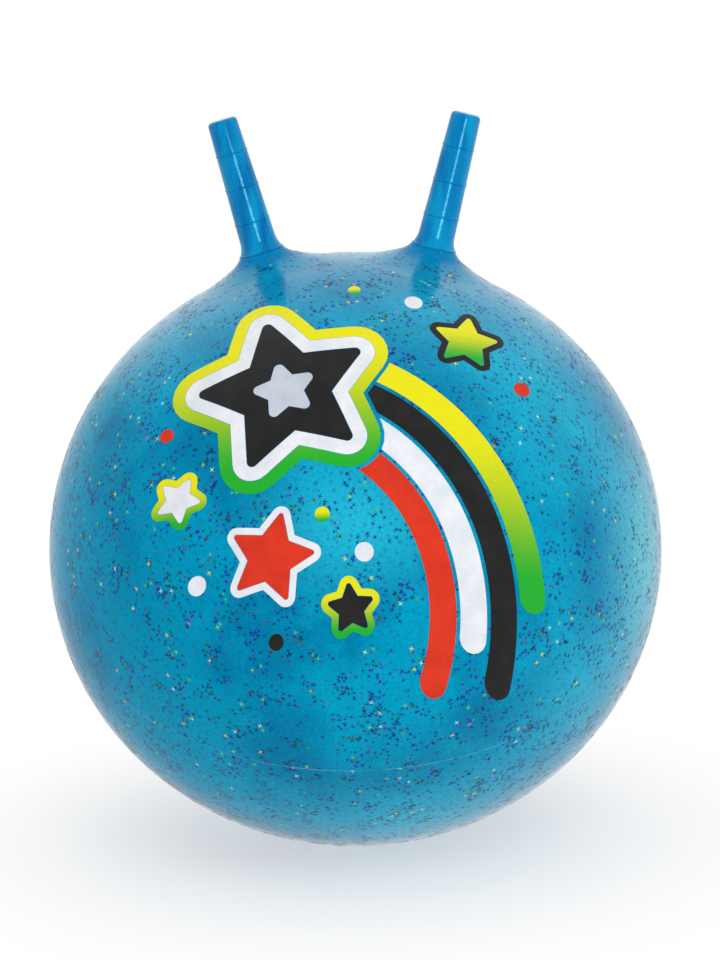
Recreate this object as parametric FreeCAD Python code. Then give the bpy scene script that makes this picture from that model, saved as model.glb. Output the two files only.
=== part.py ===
import FreeCAD, Part
import math
import os

# A hopper ball: an inflated vinyl ball with two hollow grip horns, a stopper valve at the
# back and a printed picture of a shooting star on the front.
# Lengths are in millimetres and angles in degrees. +Z is up, the horns lean towards -X and
# +X, the print faces -Y and the valve +Y. The origin is the middle of the flattened patch
# that the ball rests on.

Vector = FreeCAD.Vector

# The inflated skin
ball_width = 500.0
ball_height = 485.0
skin_wall = 1.1
rest_patch_radius = 28.0

# The horns: their roots' spacing on the skin, and their sizes along their own axes
horn_spacing = 132.0
horn_length = 122.6
horn_tip_diameter = 24.0
horn_root_diameter = 30.4
horn_wall = 2.4
horn_tip_rounding = 3.5

# The flare where a horn grows out of the skin
flare_rise = 11.0
flare_slope = 26.0
flare_upper_radius = 21.0
flare_lower_radius = 130.0

# The raised rings round a horn, and the weld ring where it joins the skin
grip_ring_count = 3
top_ring_below_tip = 27.3
low_ring_above_skin = 38.6
grip_ring_height = 0.6
grip_ring_bead_radius = 0.9
weld_ring_above_skin = 12.6
weld_ring_height = 0.7
weld_ring_bead_radius = 0.8

# The valve in the back
seat_radius = 11.0
seat_depth = 15.0
seat_flange_radius = 17.0
seat_flange_wall = 1.5
seat_weld_gap = 0.05
recess_side_gap = 0.6
plug_head_radius = 8.0
plug_head_thickness = 2.4
plug_head_below_skin = 0.2
plug_head_edge_radius = 0.6
plug_stem_length = 16.0
plug_stem_root_radius = 4.7
plug_stem_end_radius = 4.1
plug_running_gap = 0.05
plug_dimple_radius = 3.2
plug_dimple_depth = 0.8

# The print: films of ink on the front, laid out on a plane that faces forwards and up. Its
# places are measured across and up from a point that rises with a share of half the ball's
# height, so that the print keeps below the horns' flares on a flatter ball.
ink_thickness = 0.2
ink_float = 0.05
ink_seam = 0.3
print_tilt = 28.0
print_rise_share = 0.36
star_points = 5
star_tip_radius = 62.0
star_notch_share = 0.5
star_heart_share = 0.32
star_core_grow = 4.0
star_white_border = 11.0
star_bright_border = 10.0
star_turn = 12.0
star_place_u = -50.0
star_place_v = -29.0
tail_centre_u = -74.0
tail_centre_v = -199.0
tail_inner_radius = 128.0
tail_band_width = 20.0
tail_band_gap = 3.0
tail_start_angle = 90.0
small_star_radius = 30.0
small_star_border = 7.0
spot_radius = 7.0

# Tail bands from the inside out: ink, and the angle that each reaches round the tail's centre
tail_bands = [("red", -20.0), ("white", -6.0), ("black", -14.0), ("bright", 4.0)]

# Small stars: place across and up as shares of the tail's outer radius, size as a share of
# the small star's radius, the turn in degrees, and the inks of border and core
small_star_shares = [
    (-0.29, -0.73, 1.25, -16.0, "white", "red"),
    (0.41, 0.08, 1.0, -8.0, "black", "bright"),
    (-0.61, -0.49, 0.75, 40.0, "bright", "white"),
    (-0.02, -0.91, 0.75, 5.0, "bright", "black"),
]

# Round spots: place across and up, and size as a share of the spot's radius, with the ink
spot_shares = [
    (-0.65, -0.24, 0.8, "red"),
    (-0.55, -0.79, 1.0, "white"),
    (-0.11, -0.60, 0.8, "bright"),
    (0.03, -0.73, 1.0, "white"),
    (0.23, 0.25, 1.0, "white"),
    (0.60, -0.10, 0.9, "red"),
    (-0.28, -1.00, 0.8, "black"),
    (0.02, 0.31, 0.7, "bright"),
]

# How far a cutting shape runs past what it cuts
overrun = 2.0

half_width = ball_width / 2
half_height = ball_height / 2

# The skin's outline is a four-centred oval: a flatter crown and base that meet the rounder
# sides halfway. All four arcs' centres lie this far from the ball's centre.
oval_join = 45.0
oval_shift = (half_width - half_height) * (1 + math.sqrt(0.5))
crown_radius = half_height + oval_shift

patch_sag = crown_radius - math.sqrt(crown_radius ** 2 - rest_patch_radius ** 2)
centre = Vector(0, 0, half_height - patch_sag)
crown_centre = centre - Vector(0, 0, oval_shift)
up = Vector(0, 0, 1)
back = Vector(0, 1, 0)

# The horns stand square on the crown
lean = math.asin(horn_spacing / 2 / crown_radius)
horn_way = Vector(math.sin(lean), 0, math.cos(lean))
horn_tip = crown_radius + horn_length
horn_taper = (horn_root_diameter - horn_tip_diameter) / 2 / horn_length
weld_height = crown_radius + weld_ring_above_skin

tail_band_step = tail_band_width + tail_band_gap
tail_outer_radius = tail_inner_radius + len(tail_bands) * tail_band_step - tail_band_gap


def along_horn(distance):
    """The point on the right horn's axis at a distance from the crown's centre."""
    return crown_centre + horn_way * distance


def horn_radius(height):
    """A horn's outer radius at a distance from the crown's centre."""
    return horn_tip_diameter / 2 + horn_taper * (horn_tip - height)


def half_oval(inset):
    """The right half of the whole skin, drawn in by inset and cut at the plane X = 0."""
    def crown(angle):
        turn = math.radians(angle)
        reach = crown_radius - inset
        return Vector(0, reach * math.cos(turn), reach * math.sin(turn) - oval_shift)

    def mirrored(point):
        return Vector(point.x, point.y, -point.z)

    pole = crown(90)
    slope = crown((90 + oval_join) / 2)
    shoulder = crown(oval_join)
    side = Vector(0, half_width - inset, 0)
    edges = [
        Part.Arc(pole, slope, shoulder).toShape(),
        Part.Arc(shoulder, side, mirrored(shoulder)).toShape(),
        Part.Arc(mirrored(shoulder), mirrored(slope), mirrored(pole)).toShape(),
        Part.makeLine(mirrored(pole), pole),
    ]
    face = Part.Face(Part.Wire(edges))
    solid = face.revolve(Vector(0, 0, 0), up, -180)
    solid.translate(centre)
    return solid


def with_mirror(shape):
    """A right half and its mirror image, joined at the plane X = 0."""
    return shape.fuse(shape.mirror(Vector(0, 0, 0), Vector(1, 0, 0)))


def whole_oval(inset):
    """The whole skin as one closed shape, drawn in by inset."""
    return with_mirror(half_oval(inset))


def turned(points, base, axis):
    """A solid turned about axis from an outline of (radius, height) points above base."""
    corners = [Vector(radius, 0, height) for radius, height in points]
    face = Part.Face(Part.makePolygon(corners + corners[:1]))
    solid = face.revolve(Vector(0, 0, 0), up, 360)
    solid.Placement = FreeCAD.Placement(base, FreeCAD.Rotation(up, axis))
    return solid


def horn_blank(inset, foot_inset):
    """A tapered horn on its conical foot, drawn in by inset, or by foot_inset at the foot."""
    slope = math.tan(math.radians(flare_slope))
    tip = horn_tip - inset
    tip_radius = horn_radius(tip) - inset
    foot_top = crown_radius + flare_rise - foot_inset
    top_radius = horn_radius(foot_top) - inset
    foot_drop = 2 * flare_rise
    foot_radius = top_radius + foot_drop / slope
    outline = [
        (0, foot_top - foot_drop),
        (foot_radius, foot_top - foot_drop),
        (top_radius, foot_top),
        (tip_radius, tip),
        (0, tip),
    ]
    return turned(outline, crown_centre, horn_way)


def edges_between(solid, first, second):
    """The edges where a face of one kind of surface meets a face of another."""
    wanted = sorted([first, second])
    found = []
    for edge in solid.Edges:
        faces = solid.ancestorsOfType(edge, Part.Face)
        kinds = sorted(type(face.Surface).__name__ for face in faces)
        if kinds == wanted:
            found.append(edge)
    return found


def horned_half(skin_inset, horn_inset):
    """The right half of the ball with its horn, drawn in by a wall on the skin and the horn."""
    solid = half_oval(skin_inset).fuse(horn_blank(horn_inset, (skin_inset + horn_inset) / 2))
    below = Part.makeBox(ball_width, ball_width, ball_height)
    below.translate(Vector(-half_width, -half_width, skin_inset - ball_height))
    solid = solid.cut(below)
    lower = edges_between(solid, "Cone", "Sphere")
    solid = solid.makeFillet(flare_lower_radius + skin_inset, lower)
    upper = edges_between(solid, "Cone", "Cone")
    solid = solid.makeFillet(flare_upper_radius + horn_inset, upper)
    tips = edges_between(solid, "Cone", "Plane")
    return solid.makeFillet(horn_tip_rounding - horn_inset, tips)


def bead(height, wall_radius, proud, bead_radius):
    """A round bead that stands a little proud of the horn's wall."""
    ring_radius = wall_radius + proud - bead_radius
    return Part.makeTorus(ring_radius, bead_radius, along_horn(height), horn_way)


def weld_ring(horn):
    """The flash ring at a horn's foot, on the radius that the horn has there."""
    reaches = [corner.Point.distanceToLine(crown_centre, horn_way) for corner in horn.Vertexes]
    foot_radius = max(reaches)
    middle = weld_height + weld_ring_bead_radius
    ring = bead(middle, foot_radius, weld_ring_height, weld_ring_bead_radius)
    start = along_horn(weld_height - flare_rise)
    core = Part.makeCylinder(foot_radius - horn_wall / 2, 2 * flare_rise, start, horn_way)
    return ring.cut(core)


def build_skin_and_horns():
    """The skin, open where the horns join it, and the two horns above their weld rings."""
    hollow = horned_half(0, 0).cut(horned_half(skin_wall, horn_wall))
    reach = horn_tip - weld_height + overrun
    cap = Part.makeCylinder(horn_root_diameter, reach, along_horn(weld_height), horn_way)
    horn = hollow.common(cap)
    ring = weld_ring(horn)
    lowest = crown_radius + low_ring_above_skin
    spacing = (horn_tip - top_ring_below_tip - lowest) / (grip_ring_count - 1)
    for index in range(grip_ring_count):
        height = lowest + index * spacing
        horn = horn.fuse(
            bead(height, horn_radius(height), grip_ring_height, grip_ring_bead_radius)
        )
    horn = horn.fuse(ring)
    mirrored = horn.mirror(Vector(0, 0, 0), Vector(1, 0, 0))
    return with_mirror(hollow.cut(cap)), {"left_horn": mirrored, "right_horn": horn}


def is_circle(edge):
    """Whether an edge is a circle or an arc of one."""
    return isinstance(edge.Curve, Part.Circle)


def rod(radius, near, far):
    """A round bar along the valve's axis between two depths under the skin's outer face."""
    start = centre + back * (half_width - far)
    return Part.makeCylinder(radius, far - near, start, back)


def tapered_rod(near_radius, far_radius, near, far):
    """A tapered bar along the valve's axis between two depths under the skin's face."""
    start = centre + back * (half_width - far)
    return Part.makeCone(far_radius, near_radius, far - near, start, back)


def build_valve(skin):
    """The valve seat in the back of the skin, its stopper, and the skin with their hole."""
    floor = plug_head_below_skin + plug_head_thickness
    stem_end = floor + plug_stem_length
    recess_radius = plug_head_radius + recess_side_gap
    flange_sag = half_width - math.sqrt(half_width ** 2 - seat_flange_radius ** 2)
    flange_back = skin_wall + flange_sag + seat_flange_wall
    flange = rod(seat_flange_radius, 0, flange_back).common(whole_oval(skin_wall + seat_weld_gap))
    bush = rod(seat_radius, -overrun, seat_depth).common(whole_oval(0))
    seat = bush.fuse(flange).cut(rod(recess_radius, -overrun, floor))
    root_radius = plug_stem_root_radius + plug_running_gap
    end_radius = plug_stem_end_radius + plug_running_gap
    seat = seat.cut(tapered_rod(root_radius, end_radius, floor, stem_end))
    head = rod(plug_head_radius, plug_head_below_skin, floor)
    rim = [edge for edge in head.Edges if is_circle(edge)]
    front = max(rim, key=lambda edge: edge.CenterOfMass.y)
    head = head.makeFillet(plug_head_edge_radius, [front])
    dimple_floor = plug_head_below_skin + plug_dimple_depth
    head = head.cut(rod(plug_dimple_radius, -overrun, dimple_floor))
    stem = tapered_rod(plug_stem_root_radius, plug_stem_end_radius, floor, stem_end)
    hole = rod(seat_radius + seat_weld_gap, -overrun, seat_depth)
    return seat, head.fuse(stem), skin.cut(hole)


def star_face(u, v, tip_radius, turn, grow):
    """A star grown outwards by a border, so that its points are round."""
    step = math.pi / star_points
    tip = Vector(tip_radius, 0, 0)
    notch_way = Vector(math.cos(step), math.sin(step), 0)
    notch = notch_way * (tip_radius * star_notch_share)
    edge_way = (notch - tip).normalize()
    outward = Vector(edge_way.y, -edge_way.x, 0)
    notch_out = notch + notch_way * (grow / outward.dot(notch_way))
    notch_in = Vector(notch_out.x, -notch_out.y, 0)
    side_out = tip + outward * grow
    side_in = Vector(side_out.x, -side_out.y, 0)
    edges = []
    for index in range(star_points):
        point = [
            Part.LineSegment(notch_in, side_in).toShape(),
            Part.Arc(side_in, tip + Vector(grow, 0, 0), side_out).toShape(),
            Part.LineSegment(side_out, notch_out).toShape(),
        ]
        for edge in point:
            edge.rotate(Vector(0, 0, 0), up, 360 / star_points * index + turn + 90)
            edge.translate(Vector(u, v, 0))
            edges.append(edge)
    return Part.Face(Part.Wire(Part.__sortEdges__(edges)))


def disc_face(u, v, radius):
    """A round spot."""
    return Part.Face(Part.Wire(Part.makeCircle(radius, Vector(u, v, 0))))


def band_face(inner, outer, first, last):
    """A curved band of the tail with a round end."""
    def at(radius, angle):
        turn = math.radians(angle)
        return Vector(
            tail_centre_u + radius * math.cos(turn), tail_centre_v + radius * math.sin(turn), 0
        )

    middle = (inner + outer) / 2
    half_turn = (first + last) / 2
    cap_turn = math.degrees((outer - inner) / 2 / middle)
    edges = [
        Part.Arc(at(inner, first), at(inner, half_turn), at(inner, last)).toShape(),
        Part.Arc(at(inner, last), at(middle, last - cap_turn), at(outer, last)).toShape(),
        Part.Arc(at(outer, last), at(outer, half_turn), at(outer, first)).toShape(),
        Part.LineSegment(at(outer, first), at(inner, first)).toShape(),
    ]
    return Part.Face(Part.Wire(edges))


def print_faces():
    """The print as flat faces in the print's own plane, listed by ink."""
    inks = {"bright": [], "white": [], "black": [], "red": [], "grey": []}

    def main_star(grow):
        return star_face(star_place_u, star_place_v, star_tip_radius, star_turn, grow)

    def heart(grow):
        radius = star_tip_radius * star_heart_share
        return star_face(star_place_u, star_place_v, radius, star_turn, grow)

    white_grow = star_core_grow + star_white_border
    bright_grow = white_grow + star_bright_border
    inks["grey"].append(heart(star_core_grow))
    inks["black"].append(main_star(star_core_grow).cut(heart(star_core_grow + ink_seam)))
    inks["white"].append(main_star(white_grow).cut(main_star(star_core_grow + ink_seam)))
    inks["bright"].append(main_star(bright_grow).cut(main_star(white_grow + ink_seam)))

    clear_star = main_star(bright_grow + tail_band_gap)
    inner = tail_inner_radius
    for ink, last in tail_bands:
        band = band_face(inner, inner + tail_band_width, tail_start_angle, last)
        inks[ink].append(band.cut(clear_star))
        inner += tail_band_step

    for u, v, size, turn, border_ink, core_ink in small_star_shares:
        tip = small_star_radius * size - small_star_border
        place = (u * tail_outer_radius, v * tail_outer_radius, tip, turn)
        core_grow = small_star_border / 4
        inks[core_ink].append(star_face(*place, core_grow))
        hole = star_face(*place, core_grow + ink_seam)
        inks[border_ink].append(star_face(*place, small_star_border).cut(hole))
    for u, v, size, ink in spot_shares:
        place = (u * tail_outer_radius, v * tail_outer_radius)
        inks[ink].append(disc_face(*place, spot_radius * size))
    return inks


def build_print():
    """Each ink as thin films that follow the skin, one node for each ink."""
    layer = whole_oval(-ink_float - ink_thickness).cut(whole_oval(-ink_float))
    tilt = math.radians(print_tilt)
    facing = Vector(0, -math.cos(tilt), math.sin(tilt))
    rise_way = Vector(0, math.sin(tilt), math.cos(tilt))
    middle = centre + rise_way * (half_height * print_rise_share)
    stand = FreeCAD.Rotation(Vector(1, 0, 0), 90 - print_tilt)
    films = {}
    for ink, faces in print_faces().items():
        blocks = []
        for face in faces:
            placed = face.copy()
            placed.Placement = FreeCAD.Placement(middle, stand).multiply(placed.Placement)
            blocks.append(placed.extrude(facing * ball_width))
        films["print_" + ink] = layer.common(blocks)
    return films


def main():
    os.makedirs("parts", exist_ok=True)
    skin, horns = build_skin_and_horns()
    seat, plug, skin = build_valve(skin)
    nodes = {"ball_skin": skin, **horns, "valve_seat": seat, "valve_plug": plug}
    nodes.update(build_print())
    for name, shape in nodes.items():
        shape.exportStep("parts/" + name + ".step")
        print(name, "solids", len(shape.Solids), "valid", shape.isValid(),
              "volume", round(shape.Volume, 1))


main()
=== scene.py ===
# %% [markdown]
# # A hopper ball
# A hopper ball is a big vinyl ball that a child sits on and bounces away with, holding two
# hollow horns. The ball's skin is see-through blue vinyl with star-shaped glitter in it, the
# front carries a print, and a stopper closes the valve at the back.
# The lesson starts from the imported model, which holds the real sizes, the bodies that move
# and the joint between them. Everything is in metres, in the same frame, so no piece needs
# to be fitted afterwards.

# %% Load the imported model
import math
import random

import bmesh
import bpy
from mathutils import Matrix, Vector, noise
from mathutils.bvhtree import BVHTree


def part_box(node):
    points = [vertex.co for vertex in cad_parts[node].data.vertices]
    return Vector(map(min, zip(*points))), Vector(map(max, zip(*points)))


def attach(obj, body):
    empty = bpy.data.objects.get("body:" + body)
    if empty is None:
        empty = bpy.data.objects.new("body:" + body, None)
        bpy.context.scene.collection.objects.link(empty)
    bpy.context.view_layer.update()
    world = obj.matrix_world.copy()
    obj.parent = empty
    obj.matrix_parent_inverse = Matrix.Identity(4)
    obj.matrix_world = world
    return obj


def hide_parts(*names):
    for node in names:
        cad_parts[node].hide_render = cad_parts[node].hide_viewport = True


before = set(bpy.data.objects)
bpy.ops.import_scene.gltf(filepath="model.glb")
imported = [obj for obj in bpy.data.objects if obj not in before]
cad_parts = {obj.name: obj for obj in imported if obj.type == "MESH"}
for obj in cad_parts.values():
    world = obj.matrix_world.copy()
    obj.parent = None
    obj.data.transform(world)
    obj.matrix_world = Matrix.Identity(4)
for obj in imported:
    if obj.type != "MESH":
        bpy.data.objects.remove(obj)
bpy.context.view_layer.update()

# %% [markdown]
# ## The ball's sizes
# An inflated ball isn't a true sphere: here it is 500 mm wide and 485 mm high. A squashed
# sphere would look right too. This outline is a four-centred oval, a flatter crown and base
# that meet rounder sides, because its arcs are plain circles: the flares under the horns are
# worked out from them later, and any point can be laid on the skin by a short formula.

# %% Sizes of the skin
MM = 0.001
ball_width = 500 * MM
ball_height = 485 * MM
skin_wall = 1.1 * MM
patch_radius = 28 * MM

# The crown's arc meets the side's at 45 degrees.
diagonal = math.sqrt(0.5)
half_width = ball_width / 2
half_height = ball_height / 2
oval_shift = (half_width - half_height) * (1 + diagonal)
crown_radius = half_height + oval_shift
side_radius = half_width - oval_shift
shoulder_reach = crown_radius * diagonal
shoulder_slope = (shoulder_reach - oval_shift) / shoulder_reach

patch_sag = crown_radius - math.sqrt(crown_radius ** 2 - patch_radius ** 2)
ball_centre = Vector((0, 0, half_height - patch_sag))
crown_centre = ball_centre - Vector((0, 0, oval_shift))
skin_low, skin_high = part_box("ball_skin")
print("ball", ball_width, "wide, the packed skin", round(skin_high.x - skin_low.x, 4))


# %% Lay a point on the skin
def skin_reach(way):
    """How far the skin lies from the ball's centre in a direction of length one."""
    rise = abs(way.z)
    run = math.hypot(way.x, way.y)
    if rise > run * shoulder_slope:
        return math.sqrt(crown_radius ** 2 - (oval_shift * run) ** 2) - oval_shift * rise
    return math.sqrt(side_radius ** 2 - (oval_shift * rise) ** 2) + oval_shift * run


def on_skin(point):
    """The point of the skin that lies on the line from the ball's centre through a point."""
    way = (point - ball_centre).normalized()
    return ball_centre + way * skin_reach(way)


def skin_normal(point):
    """The direction square to the skin at one of its points."""
    offset = point - ball_centre
    run = math.hypot(offset.x, offset.y)
    if abs(offset.z) > run * shoulder_slope:
        offset.z += math.copysign(oval_shift, offset.z)
    else:
        offset.x -= offset.x / run * oval_shift
        offset.y -= offset.y / run * oval_shift
    return offset.normalized()


print("crown, between the horns, at mm", round(on_skin(ball_centre + Vector((0, 0, 1))).z / MM, 1))

# %% [markdown]
# ## Round shapes and finished pieces
# The horns, the flares under them and the valve are all round. They could be stacked from
# cones and rings, but a spin makes each in one go: half an outline, with its distance from
# the axis as x and its height as z, is turned round the axis, and a matrix moves the result
# into place.

# %% Spin an outline
merge_gap = 0.001 * MM


def spun(outline, steps, place):
    """A bmesh turned from an outline of (radius, height) points, then moved by a matrix."""
    bm = bmesh.new()
    points = [bm.verts.new((radius, 0, height)) for radius, height in outline]
    edges = [bm.edges.new(pair) for pair in zip(points, points[1:])]
    bmesh.ops.spin(bm, geom=points + edges, cent=(0, 0, 0), axis=(0, 0, 1),
                   angle=math.tau, steps=steps, use_merge=True)
    bmesh.ops.remove_doubles(bm, verts=bm.verts, dist=merge_gap)
    bmesh.ops.transform(bm, matrix=place, verts=bm.verts)
    return bm


def arc(centre, radius, start, end, count):
    """Points on an arc about (radius, height), between two angles in degrees."""
    points = []
    for index in range(count + 1):
        turn = math.radians(start + (end - start) * index / count)
        points.append((centre[0] + radius * math.cos(turn), centre[1] + radius * math.sin(turn)))
    return points


print("points on a quarter of a circle", [(round(x, 2), round(y, 2))
                                          for x, y in arc((0, 0), 1, 0, 90, 2)])


# %% Make a piece of a bmesh
def open_edges(bm):
    """How many edges have a face on one side only. A closed shape has none."""
    return sum(edge.is_boundary for edge in bm.edges)


def outwards(bm):
    """Turn a bmesh's faces outwards."""
    bmesh.ops.recalc_face_normals(bm, faces=bm.faces)


def mesh_from(name, bm):
    """A mesh with what a bmesh holds. The bmesh itself goes away."""
    mesh = bpy.data.meshes.new(name)
    bm.to_mesh(mesh)
    bm.free()
    return mesh


def put_in_scene(name, data):
    """A new object in the scene, for a mesh, a lamp or a camera."""
    thing = bpy.data.objects.new(name, data)
    bpy.context.scene.collection.objects.link(thing)
    return thing


def shade(mesh, sharp):
    """Shade a mesh smooth, apart from edges that turn by more than an angle in degrees."""
    mesh.shade_smooth()
    mesh.set_sharp_from_angle(angle=math.radians(sharp))


def keep_piece(name, bm, material, body, slot, *nodes, sharp=35):
    """Make a finished piece of a bmesh: smooth, with its sharp edges kept, riding on a body."""
    mesh = mesh_from(name, bm)
    shade(mesh, sharp)
    mesh.materials.append(material)
    piece = put_in_scene(name, mesh)
    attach(piece, body)
    if nodes:
        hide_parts(*nodes)
    triangles = sum(len(face.vertices) - 2 for face in mesh.polygons)
    print(name, "triangles", triangles, "size in mm",
          [round(side / MM, 1) for side in piece.dimensions])
    return piece


# %% [markdown]
# ## Materials in code
# Every finish is a small node tree that ends in a Principled shader. It could be clicked
# together in the editor, but helpers keep it short: add makes a node, and links what is given
# as a socket or sets what is given as a plain value. All patterns read Object coordinates, so
# they stay fixed to the vinyl when the ball is seen from another side. A value that is the
# same all over is set on the shader's own socket.

# %% Node helpers
def add(tree, kind, inputs=None, output=0, **settings):
    """Add a node, fill its inputs by name or number, and give one of its outputs."""
    node = tree.nodes.new("ShaderNode" + kind)
    for key, value in settings.items():
        setattr(node, key, value)
    for socket, value in (inputs or {}).items():
        if isinstance(value, bpy.types.NodeSocket):
            tree.links.new(value, node.inputs[socket])
        else:
            node.inputs[socket].default_value = value
    return node.outputs[output]


def maths(tree, operation, first, second=0.0):
    """A Math node."""
    return add(tree, "Math", {0: first, 1: second}, operation=operation)


def vector_maths(tree, operation, first, second=(0, 0, 0)):
    """A Vector Math node, which gives a number where it measures and otherwise a vector."""
    output = "Value" if operation in ("DISTANCE", "DOT_PRODUCT", "LENGTH") else "Vector"
    return add(tree, "VectorMath", {0: first, 1: second}, output, operation=operation)


def spread(tree, value, low, high, to_low=0.0, to_high=1.0):
    """A smooth step from one range of values to another."""
    inputs = {"Value": value, "From Min": low, "From Max": high,
              "To Min": to_low, "To Max": to_high}
    return add(tree, "MapRange", inputs, interpolation_type="SMOOTHSTEP")


def blend(tree, share, first, second, mode="MIX"):
    """Mix two colours by a share from 0 to 1."""
    # For colours, the Mix node's inputs 6 and 7 and its output 2 are in use.
    inputs = {0: share, 6: first, 7: second}
    return add(tree, "Mix", inputs, 2, data_type="RGBA", blend_type=mode)


def speckle(tree, coords, scale, detail=2.0, roughness=0.5):
    """Noise from 0 to 1, with scale patches to a metre."""
    inputs = {"Vector": coords, "Scale": scale, "Detail": detail, "Roughness": roughness}
    return add(tree, "TexNoise", inputs)


def cloudy(tree, coords, scale, detail, levels=(0.3, 0.7), values=(0.0, 1.0), roughness=0.5):
    """Noise that goes from one value to another between two of its levels."""
    return spread(tree, speckle(tree, coords, scale, detail, roughness), *levels, *values)


def dimmed(tree, colour, factor):
    """A colour times a number."""
    grey = add(tree, "CombineColor", {0: factor, 1: factor, 2: factor})
    return blend(tree, 1.0, colour, grey, "MULTIPLY")


def srgb(red, green, blue):
    """A colour given as it reads on screen, from 0 to 255, as a shader needs it."""
    shares = [value / 255 for value in (red, green, blue)]
    linear = [s / 12.92 if s <= 0.04045 else ((s + 0.055) / 1.055) ** 2.4 for s in shares]
    return (*linear, 1.0)


print("a middle grey on screen is", round(srgb(128, 128, 128)[0], 3), "in a shader")


# %% Start and complete a finish
def new_finish(name, **constants):
    """A material whose Principled shader gets constants: itself, its tree and coordinates."""
    material = bpy.data.materials.new(name)
    material.use_nodes = True
    tree = material.node_tree
    for socket, value in constants.items():
        tree.nodes["Principled BSDF"].inputs[socket.replace("_", " ")].default_value = value
    return material, tree, add(tree, "TexCoord", output="Object")


def complete(material, coords, colour, gloss, grain=None):
    """Give a material its colour, an uneven gloss and a fine grain.

    gloss is a noise's scale and detail, then the least and the greatest roughness. grain is a
    noise's scale and detail, then its height in metres and its strength.
    """
    tree = material.node_tree
    sockets = tree.nodes["Principled BSDF"].inputs
    tree.links.new(colour, sockets["Base Color"])
    scale, detail, *roughness = gloss
    tree.links.new(cloudy(tree, coords, scale, detail, values=roughness), sockets["Roughness"])
    if grain:
        scale, detail, height, strength = grain
        relief = {"Height": speckle(tree, coords, scale, detail), "Distance": height,
                  "Strength": strength}
        tree.links.new(add(tree, "Bump", relief), sockets["Normal"])
    print(material.name, "nodes", len(tree.nodes))
    return material


def two_tone(name, first, second, cloud, gloss, grain=None, **constants):
    """A finish that drifts between two near colours. cloud is its noise's scale and detail."""
    material, tree, coords = new_finish(name, **constants)
    colour = blend(tree, cloudy(tree, coords, *cloud), first, second)
    return complete(material, coords, colour, gloss, grain)


print("materials so far", len(bpy.data.materials))

# %% [markdown]
# ## The skin's vinyl
# The vinyl is clear blue, and light that has been round the inside of the ball makes it
# glow in soft patches of cyan and green. Real transparency would need light that is scattered
# inside the ball, which is slow and grainy to render, so these patches are painted light at
# their places on the skin instead, together with a few patches of painted shade.
# Glitter lies at every depth. The crisp stars near the face become real pieces later, and the
# fainter ones deeper down are drawn here. A Voronoi texture gives each cell a centre. The way
# from that centre, measured along the skin and turned by a random angle, becomes a
# four-pointed star where its two sides, each raised to a power below one, add up to less
# than a limit.

# %% Faint stars deep in the vinyl
star_power = 0.62
star_crispness = 0.8
star_blue = srgb(4, 84, 150)
star_blue_share = 0.96
# The stars' spacing and reach in millimetres, and how strongly they show.
star_layers = [(7.5, 2.4, 0.3), (10.0, 2.7, 0.45)]


def deep_stars(tree, coords, spacing, reach):
    """Star shapes on a round skin: how much of a star a point is in, and a colour per star."""
    cell = {"Vector": coords, "Scale": 1 / spacing}
    middle, tint = [add(tree, "TexVoronoi", cell, output) for output in ("Position", "Color")]
    offset = vector_maths(tree, "SUBTRACT", coords, middle)
    outward = vector_maths(tree, "SUBTRACT", coords, ball_centre)
    outward = vector_maths(tree, "NORMALIZE", outward)
    east = vector_maths(tree, "CROSS_PRODUCT", (0, 0, 1), outward)
    east = vector_maths(tree, "NORMALIZE", east)
    north = vector_maths(tree, "CROSS_PRODUCT", outward, east)
    flat = add(tree, "CombineXYZ", {0: vector_maths(tree, "DOT_PRODUCT", offset, east),
                                    1: vector_maths(tree, "DOT_PRODUCT", offset, north)})
    turn = maths(tree, "MULTIPLY", add(tree, "SeparateColor", {0: tint}), math.tau)
    turned = add(tree, "VectorRotate", {"Vector": flat, "Angle": turn}, rotation_type="Z_AXIS")
    sides = [add(tree, "SeparateXYZ", {0: turned}, axis) for axis in "XY"]
    sides = [maths(tree, "ABSOLUTE", side) for side in sides]
    total = maths(tree, "ADD", *[maths(tree, "POWER", side, star_power) for side in sides])
    limit = reach ** star_power
    return spread(tree, total, limit, limit * star_crispness), tint


print("layers of deep stars", len(star_layers))

# %% Colours and light of the skin
deep_blue = srgb(0, 128, 172)
painted_glow_cyan = srgb(84, 196, 216)
painted_light_cyan = srgb(36, 188, 218)
painted_shade_blue = srgb(0, 124, 172)
vinyl_tint = (0.03, 0.5, 0.8, 1)

# Clouds over the deep blue: the colour, the noise's scale, detail and roughness, the two
# levels that a cloud's edge lies between, and the strength.
clouds = [
    (srgb(2, 160, 198), 9.0, 2.0, 0.5, (0.38, 0.62), 1.0),
    (srgb(4, 176, 206), 26.0, 4.0, 0.6, (0.5, 0.78), 0.5),
    (srgb(2, 166, 172), 41.0, 3.0, 0.5, (0.58, 0.8), 0.5),
]
# Soft patches of light and shade: the colour, the middle and the reach along X, Y and Z in
# millimetres, and the strength.
patches = [
    (painted_shade_blue, (-170, -180, 275), (120, 150, 200), 0.4),
    (painted_shade_blue, (184, -168, 251), (42, 60, 125), 0.6),
    (painted_light_cyan, (90, -60, 420), (200, 150, 90), 0.45),
    (painted_light_cyan, (155, -145, 375), (120, 120, 100), 0.55),
    (painted_light_cyan, (168, -165, 155), (90, 110, 90), 0.6),
    (painted_light_cyan, (15, -165, 50), (200, 110, 85), 0.65),
    (painted_light_cyan, (0, -238, 310), (110, 80, 80), 0.9),
    (painted_glow_cyan, (232, -100, 252), (80, 105, 150), 1.0),
]
# The vinyl is thicker and a deeper blue where it is drawn up to a horn.
foot_blue = srgb(0, 132, 186)
horn_foot = (69 * MM, 0, 488 * MM)
thick_reach = (24 * MM, 40 * MM)
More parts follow.
